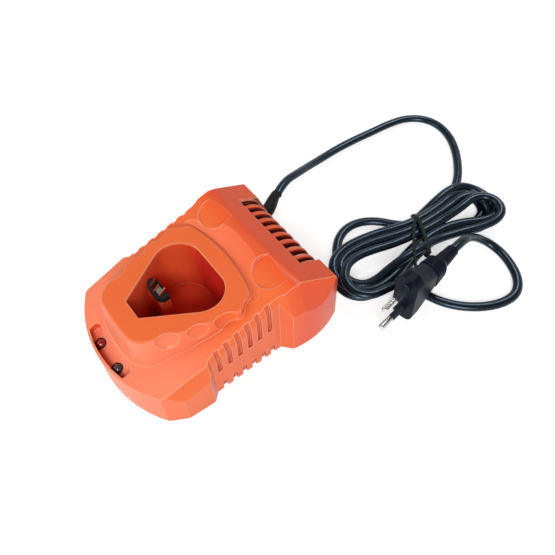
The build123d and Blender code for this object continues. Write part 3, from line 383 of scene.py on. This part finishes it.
orange = moulded_orange()
FINISHES = {
    "upper_housing": orange,
    "lower_housing": orange,
    "case_screws": metal("zinc_screw", (0.62, 0.61, 0.57), 0.28, (1, 1, 1)),
    "board_screws": metal("board_screw_steel", (0.60, 0.60, 0.62), 0.26, (1, 1, 1)),
    "clamp_screws": metal("clamp_screw_steel", (0.58, 0.58, 0.60), 0.30, (1, 1, 1)),
    "rubber_feet": black_plastic("foot_rubber", (0.022, 0.022, 0.022), 0.62, 2600, 0.00006),
    "circuit_board": solder_mask(),
    "transformer_core": lamination("core_iron", (0.10, 0.10, 0.11), 0.0006),
    "transformer_bobbin": black_plastic("bobbin_nylon", (0.05, 0.05, 0.05), 0.40, 3000),
    "transformer_winding": printed_tape(),
    "input_capacitor": can_sleeve(),
    "output_capacitors": black_plastic("small_can_sleeve", (0.020, 0.026, 0.060), 0.25, 1500),
    "bridge_rectifier": black_plastic("rectifier_epoxy", (0.030, 0.030, 0.031), 0.48, 3500),
    "power_transistor": black_plastic("transistor_epoxy", (0.028, 0.028, 0.029), 0.44, 3500),
    "controller_chip": black_plastic("chip_epoxy", (0.025, 0.025, 0.026), 0.50, 4000),
    "mains_fuse": fuse_glass(),
    "heat_sink": metal("sink_aluminium", (0.76, 0.77, 0.79), 0.30, (1, 40, 1)),
    "terminal_block": black_plastic("block_nylon", (0.018, 0.018, 0.020), 0.42, 2400, 0.00005),
    "terminal_bridge": black_plastic("bridge_nylon", (0.17, 0.17, 0.175), 0.45, 2400),
    "negative_terminal": metal("blade_copper", (0.86, 0.43, 0.25), 0.22, (1, 1, 20)),
    "sensor_terminal": metal("sensor_copper", (0.84, 0.42, 0.25), 0.24, (1, 1, 20)),
    "positive_terminal": metal("plus_copper", (0.86, 0.44, 0.26), 0.22, (1, 1, 20)),
    "led_red": lens("ruby_lens", (0.05, 0.001, 0.0015), (0.30, 0.004, 0.006)),
    "led_green": lens("smoke_lens", (0.006, 0.008, 0.006), (0.040, 0.046, 0.034)),
    "led_collars": black_plastic("collar_nylon", (0.016, 0.016, 0.018), 0.35, 2400),
    "strain_relief": black_plastic("relief_pvc", (0.014, 0.014, 0.017), 0.36, 1800, 0.00005),
    "inner_cord": black_plastic("inner_jacket", (0.012, 0.013, 0.018), 0.34, 1500),
    "input_wires": black_plastic("wire_insulation", (0.16, 0.055, 0.020), 0.32, 1200),
    "cord_clamp": black_plastic("clamp_nylon", (0.030, 0.030, 0.032), 0.45, 2400),
    "plug_body": black_plastic("plug_pvc", (0.004, 0.006, 0.014), 0.34, 1700, 0.00006, 0.0005),
    "plug_pins": metal("nickel_pin", (0.80, 0.79, 0.77), 0.13, (1, 30, 1)),
    "plug_sleeves": black_plastic("pin_sleeve", (0.024, 0.030, 0.044), 0.22, 1500),
}


# Helpers for pieces

def only(piece):
    """Selects one piece alone and makes it active."""
    bpy.ops.object.select_all(action="DESELECT")
    piece.select_set(True)
    bpy.context.view_layer.objects.active = piece


def dress(piece, finish):
    """Puts a finish in every material slot of a piece."""
    if not piece.data.materials:
        piece.data.materials.append(finish.material)
    for holder in piece.material_slots:
        holder.material = finish.material


# The mains lead, in millimetres: out of the strain relief, round behind the housing, through the hank and its
# loops, and on to the plug

LEAD = (
    (-40.08, 78.15, 17.0), (-45.58, 87.68, 17.0), (-49.0, 101.0, 13.4), (-53.4, 113.8, 8.4),
    (-56.6, 127.8, 4.6), (-58.4, 142.5, 3.0), (-57.9, 157.5, 2.7), (-56.5, 172.0, 2.6),
    (-55.3, 186.0, 2.6), (-52.6, 199.0, 2.6), (-45.5, 208.8, 2.6), (-34.5, 213.4, 2.7),
    (-21.5, 211.6, 2.8), (-9.0, 205.2, 2.8), (2.8, 195.8, 2.7), (13.2, 184.6, 2.6),
    # into the hank and down its left side
    (20.4, 170.0, 2.6), (24.9, 158.7, 2.6), (25.8, 148.0, 3.0), (25.2, 137.0, 3.3),
    (24.0, 124.0, 3.0), (20.8, 111.0, 2.6), (18.0, 99.5, 2.6), (16.8, 89.5, 2.6),
    (18.8, 80.2, 2.6), (25.2, 75.4, 2.6), (32.8, 75.4, 2.6), (39.0, 80.2, 2.6),
    (40.6, 89.5, 2.6), (39.4, 100.5, 2.6), (37.2, 112.0, 2.6), (34.8, 124.5, 3.0), (33.6, 137.0, 3.3),
    # first upper fold
    (35.4, 148.5, 3.0), (39.3, 158.2, 2.6), (43.0, 165.4, 2.6), (43.4, 172.0, 2.6),
    (40.0, 178.4, 2.7), (32.4, 181.2, 3.2), (24.9, 178.0, 5.0), (21.6, 169.8, 6.8),
    (22.8, 158.7, 6.8), (23.4, 148.5, 6.9), (23.1, 137.0, 7.2),
    # second turn, the largest
    (20.4, 125.0, 7.0), (15.8, 112.5, 6.8), (12.9, 100.0, 6.9), (12.0, 88.0, 7.0),
    (14.9, 77.4, 7.0), (22.6, 71.6, 7.0), (32.0, 71.2, 7.0), (40.8, 75.4, 6.9),
    (45.4, 84.0, 6.9), (45.2, 95.0, 6.8), (42.8, 107.0, 6.7), (39.2, 119.5, 6.9),
    (37.2, 129.0, 7.2), (36.8, 138.0, 7.2), (38.0, 149.0, 6.9), (41.9, 159.1, 6.8),
    (47.6, 168.3, 6.9), (50.0, 177.4, 7.0), (45.4, 185.7, 6.2), (34.4, 188.5, 3.6),
    (24.1, 185.8, 4.6), (18.6, 178.2, 6.9), (17.7, 168.7, 7.2), (18.5, 158.7, 6.2),
    (19.6, 148.5, 4.2), (20.8, 138.0, 3.3),
    # third turn, which slips out of the tie in a small loop on the left
    (19.6, 131.6, 3.0), (13.6, 126.4, 2.6), (6.2, 121.0, 2.6), (0.4, 113.0, 2.6), (-1.6, 103.4, 2.6),
    (1.2, 94.0, 2.6), (7.0, 87.2, 2.6), (13.2, 82.0, 2.6), (18.6, 75.4, 2.6),
    (26.4, 70.4, 2.6), (36.0, 70.5, 2.6), (43.4, 76.2, 2.6), (46.0, 86.0, 2.6),
    (45.4, 97.5, 2.6), (42.8, 110.5, 2.6), (40.0, 124.0, 3.0), (38.6, 137.0, 3.3),
    (40.8, 149.0, 2.9), (45.3, 158.6, 2.6), (49.0, 165.6, 2.6), (49.4, 173.0, 2.9),
    (45.3, 179.4, 3.4), (37.8, 182.6, 6.5), (30.4, 179.5, 8.4), (27.0, 171.6, 8.2),
    (27.2, 161.3, 6.8), (27.6, 150.0, 7.0), (27.4, 137.0, 7.2),
    # fourth turn, on top
    (25.2, 124.5, 7.0), (20.8, 112.0, 6.8), (17.4, 100.0, 6.9), (16.4, 89.0, 7.0),
    (18.4, 80.0, 7.0), (24.8, 75.4, 7.0), (32.6, 75.4, 7.0), (39.2, 79.8, 7.0),
    (41.4, 88.0, 7.3), (40.7, 98.5, 9.2), (41.0, 110.0, 10.9), (41.6, 122.0, 10.6),
    (41.2, 136.0, 7.4), (44.6, 147.5, 7.2), (48.2, 157.0, 7.4), (51.9, 165.2, 8.4),
    (54.0, 173.6, 9.8), (51.2, 181.2, 10.6), (43.6, 184.4, 10.8), (36.0, 181.2, 10.8),
    (33.1, 173.6, 10.8), (33.7, 164.6, 10.0), (33.4, 156.0, 8.8), (32.4, 147.0, 7.4), (31.8, 137.0, 7.2),
    # last time round the lower fold, then out to the right
    (29.8, 125.0, 7.0), (27.2, 112.5, 6.8), (23.6, 101.0, 7.2), (22.0, 90.0, 8.6),
    (24.0, 79.6, 10.4), (31.4, 71.8, 11.0), (41.2, 70.4, 11.0), (48.6, 76.4, 10.6),
    (49.8, 86.0, 9.4), (50.2, 95.8, 7.4), (55.0, 102.6, 4.6), (63.4, 105.4, 2.9),
    (72.0, 108.6, 2.6), (81.0, 114.8, 2.6), (89.4, 124.6, 2.6), (94.6, 136.0, 2.6),
    (95.0, 146.8, 2.6), (88.4, 155.4, 2.6), (77.4, 160.6, 2.6), (66.4, 162.4, 2.8),
    (57.2, 158.6, 5.6), (54.0, 149.0, 12.4), (55.68, 139.16, 17.65), (57.07, 130.26, 17.65),
)


def swept(name, points, section):
    """A strip of oval section along a smooth line. Returns the mesh piece and its centreline."""
    route = bpy.data.curves.new(name, "CURVE")
    route.dimensions = "3D"
    route.resolution_u = 8
    route.twist_mode = "Z_UP"
    spline = route.splines.new("NURBS")
    spline.points.add(len(points) - 1)
    for control, place in zip(spline.points, points):
        control.co = (*(MM * c for c in place), 1.0)
    spline.order_u = 3
    spline.use_endpoint_u = True
    piece = bpy.data.objects.new(name, route)
    bpy.context.collection.objects.link(piece)
    bare = bpy.data.meshes.new_from_object(piece)
    line = [tuple(vertex.co) for vertex in bare.vertices]
    bpy.data.meshes.remove(bare)

    bpy.ops.object.select_all(action="DESELECT")
    bpy.ops.curve.primitive_nurbs_circle_add(radius=1.0)
    outline = bpy.context.active_object
    outline.name = name + "_section"
    outline.data.resolution_u = 4
    for control in outline.data.splines[0].points:
        x, y, z, weight = control.co
        control.co = (x * section[0] / 2, y * section[1] / 2, z, weight)
    route.bevel_mode = "OBJECT"
    route.bevel_object = outline
    route.use_fill_caps = True
    only(piece)
    bpy.ops.object.convert(target="MESH")
    piece = bpy.context.active_object
    bpy.ops.object.mode_set(mode="EDIT")
    bpy.ops.mesh.select_all(action="SELECT")
    bpy.ops.mesh.remove_doubles(threshold=0.000002)
    bpy.ops.mesh.normals_make_consistent(inside=False)
    bpy.ops.object.mode_set(mode="OBJECT")
    bpy.ops.object.shade_smooth_by_angle(angle=math.radians(50))
    bpy.data.objects.remove(outline)
    return piece, line


def add_lead():
    """The lead, which runs on to the plug, and its tie."""
    lead, line = swept("mains_lead", LEAD, (5.6 * MM, 4.3 * MM))
    dress(lead, lead_jacket())
    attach(lead, "root")
    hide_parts("mains_cord", "cord_hank", "hank_loop_cord", "plug_loop_cord")
    tie = add_tie()


# The twist tie, in millimetres

TIE_RING = (
    (43.0, 125.8, 10.8), (37.6, 129.4, 11.7), (30.0, 133.4, 11.8), (24.4, 136.2, 11.0),
    (18.8, 139.0, 8.2), (17.2, 139.8, 3.7), (20.2, 138.4, 0.9), (28.0, 134.6, 0.7),
    (38.0, 129.2, 0.7), (44.8, 125.4, 1.6), (46.6, 124.6, 5.4), (45.8, 124.8, 9.4), (43.4, 126.2, 11.2),
)
TIE_TAIL = (
    (23.0, 135.6, 11.8), (27.6, 129.2, 12.6), (37.7, 119.4, 13.4), (45.6, 112.6, 13.6), (51.9, 107.3, 12.5),
)


TWIST_START = (43.0, 125.8, 11.0)
TWIST_RUN = (0.231, -0.189, 0.042)      # advance per step
TWIST_STEPS, TWIST_TURN = 22, 62        # degrees per step


def tie_end(name, start):
    """One of the two ends that are twisted round each other, spreading as they go."""
    points = []
    for step in range(TWIST_STEPS):
        angle = math.radians(start + TWIST_TURN * step)
        radius = 0.75 + 0.03 * step
        swing = (0.5 * math.cos(angle), 0.8 * math.cos(angle), math.sin(angle))
        points.append([c + run * step + radius * s for c, run, s in zip(TWIST_START, TWIST_RUN, swing)])
    return swept(name, points, (1.3 * MM, 0.6 * MM))[0]


def add_tie():
    """A wire twist tie: the ring round the hank, its twisted ends and one long tail."""
    ring, _ = swept("twist_tie", TIE_RING, (2.4 * MM, 0.7 * MM))
    tail, _ = swept("tie_tail", TIE_TAIL, (1.8 * MM, 0.7 * MM))
    strands = [ring, tail, tie_end("tie_end_0", 0), tie_end("tie_end_180", 180)]
    bpy.ops.object.select_all(action="DESELECT")
    for strand in strands:
        strand.select_set(True)
    bpy.context.view_layer.objects.active = ring
    bpy.ops.object.join()
    tie = bpy.context.active_object
    dress(tie, black_plastic("tie_plastic", (0.014, 0.020, 0.018), 0.30, 2000))
    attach(tie, "root")
    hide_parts("hank_tie")
    return tie


# Studio

def add_lamp(name, place, target, size, power):
    """A square soft box aimed at a point."""
    data = bpy.data.lights.new(name, "AREA")
    data.shape = "RECTANGLE"
    data.size, data.size_y = size
    data.energy = power
    lamp = bpy.data.objects.new(name, data)
    bpy.context.collection.objects.link(lamp)
    lamp.location = place
    lamp.rotation_euler = (Vector(target) - Vector(place)).to_track_quat("-Z", "Y").to_euler()


ROOM_LIGHT = 0.40           # share of the room's brightness that lights the object
ROOM_TOP = 0.22             # brightness overhead, where the horizon is 1


def add_room():
    """A plain bright room, white round the horizon and dimmer overhead."""
    world = bpy.data.worlds.new("studio")
    bpy.context.scene.world = world
    world.use_nodes = True
    room = Shading(world.node_tree)
    direction = room.add("ShaderNodeTexCoord", output="Generated")
    height = room.add("ShaderNodeSeparateXYZ", {}, {0: direction}, "Z")
    dim = room.ease(height, 0.05, 0.8) * (1 - ROOM_TOP)
    backdrop = room.tree.nodes["Background"]
    room.feed(backdrop.inputs["Color"], rgb(1, 1, 1))
    room.feed(backdrop.inputs["Strength"], (1 - dim) * (ROOM_LIGHT + (1 - ROOM_LIGHT) * room.seen()))


def add_floor():
    """A pale paper floor, lifted to white for the eye and keeping the object's shadow."""
    bpy.ops.object.select_all(action="DESELECT")
    bpy.ops.mesh.primitive_plane_add(size=6, location=(0, 0, 0))
    floor = bpy.context.active_object
    floor.name = "floor"
    paper = Finish("floor_paper", Roughness=0.9, Specular_IOR_Level=0.1, Emission_Strength=0.60)
    fibre = paper.noise(90, 3)
    paper.drive(Base_Color=paper.blend(fibre, rgb(0.71, 0.71, 0.71), rgb(0.73, 0.73, 0.73)))
    paper.drive(Emission_Color=paper.seen())
    floor.data.materials.append(paper.material)


def add_studio():
    """The room, the floor and three soft boxes."""
    add_room()
    add_floor()
    middle = (0.0, 0.05, 0.0)
    add_lamp("key", (0.90, -0.60, 0.95), middle, (0.6, 0.6), 14.0)
    add_lamp("fill", (-0.50, -1.00, 0.80), middle, (0.7, 0.7), 5.5)
    add_lamp("rim", (-0.30, 0.75, 0.95), middle, (0.30, 0.30), 3.2)
    bpy.context.scene.view_settings.view_transform = "Standard"


add_camera()
add_lead()
for node, finish in FINISHES.items():
    dress(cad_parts[node], finish)
add_studio()
